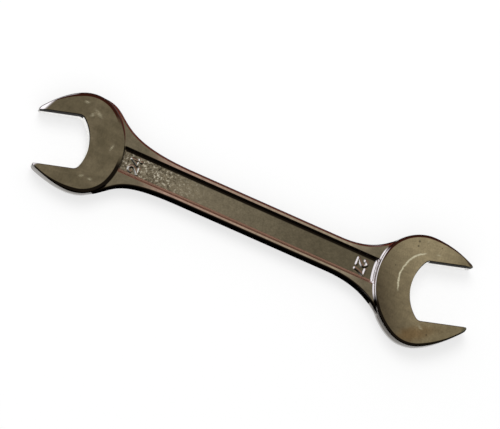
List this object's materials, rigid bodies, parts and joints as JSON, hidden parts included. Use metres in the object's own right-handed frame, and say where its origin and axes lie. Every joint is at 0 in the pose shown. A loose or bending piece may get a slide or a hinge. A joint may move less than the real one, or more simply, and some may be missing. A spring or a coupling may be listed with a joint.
{
  "type": "open end wrench",
  "caption": "Flat double-ended open end wrench: an angled open jaw at each end of a shank recessed between raised rails.",
  "frame": {"origin": "middle of the wrench's outline in plan, at the height of the lower face of the larger head", "axes": "+X runs along the shank from the smaller head to the larger head, +Y across it towards the side the larger jaw opens to, +Z is the thickness, up when the wrench lies flat"},
  "size_m": [0.2164, 0.0512, 0.011],
  "materials": {
    "plated_steel": "satin, worn plating on drop-forged steel"
  },
  "bodies": {
    "root": {"head_24": "plated_steel", "shank": "plated_steel", "head_27": "plated_steel"}
  },
  "joints": []
}
